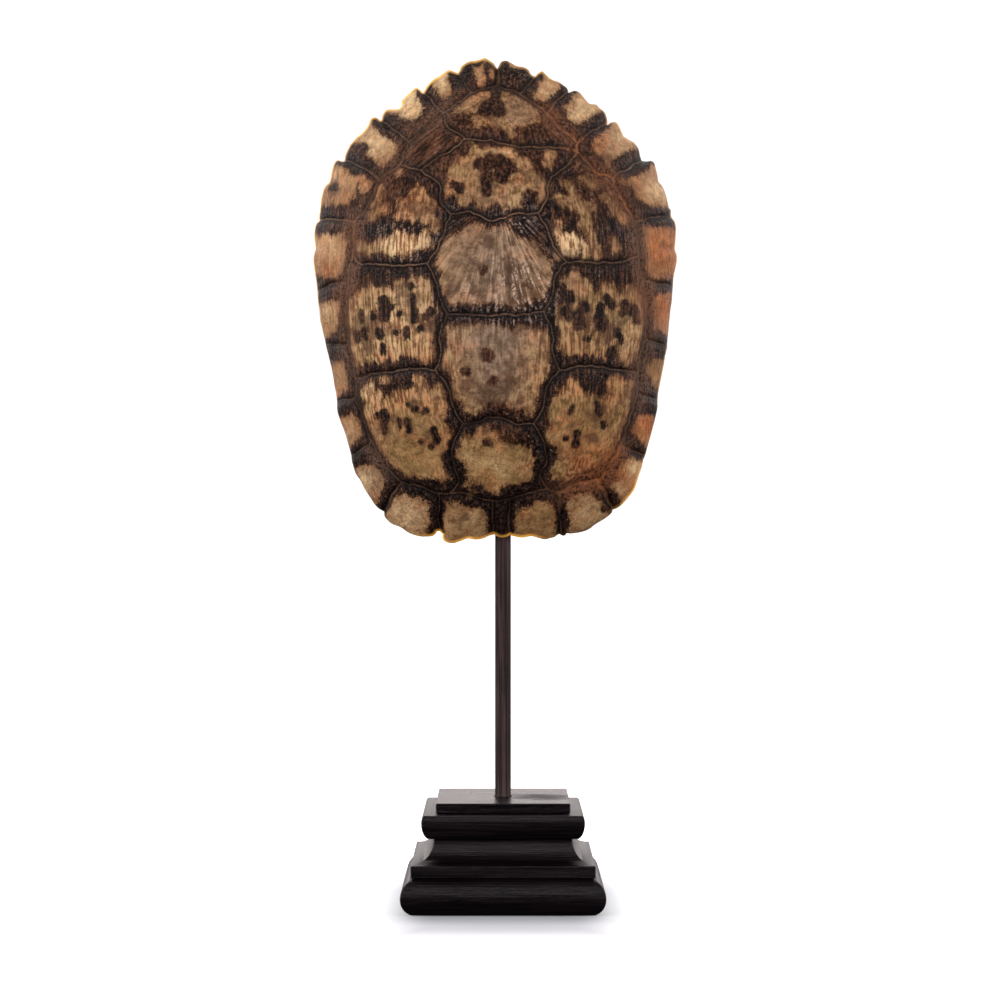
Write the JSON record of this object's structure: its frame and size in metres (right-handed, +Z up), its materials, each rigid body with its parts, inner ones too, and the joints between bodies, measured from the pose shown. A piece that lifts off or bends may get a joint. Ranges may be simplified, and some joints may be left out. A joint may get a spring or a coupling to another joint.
{
  "type": "turtle shell on display stand",
  "caption": "Domed turtle carapace with scute seams and a notched edge, hollow behind, hung tail end up on a dark rod above a square moulded base.",
  "frame": {"origin": "middle of the base's underside, on the surface it stands on", "axes": "+Z up, along the rod; the shell's domed face looks towards -Y; +X to the viewer's right"},
  "size_m": [0.1845, 0.106, 0.4235],
  "materials": {
    "horn": "satin",
    "dark_metal": "satin",
    "black_paint": "satin"
  },
  "bodies": {
    "root": {"carapace": "horn", "rod": "dark_metal", "mounting_block": "black_paint", "base_top_plate": "black_paint", "base_upper_moulding": "black_paint", "base_cove_moulding": "black_paint", "base_foot_moulding": "black_paint"}
  },
  "joints": []
}
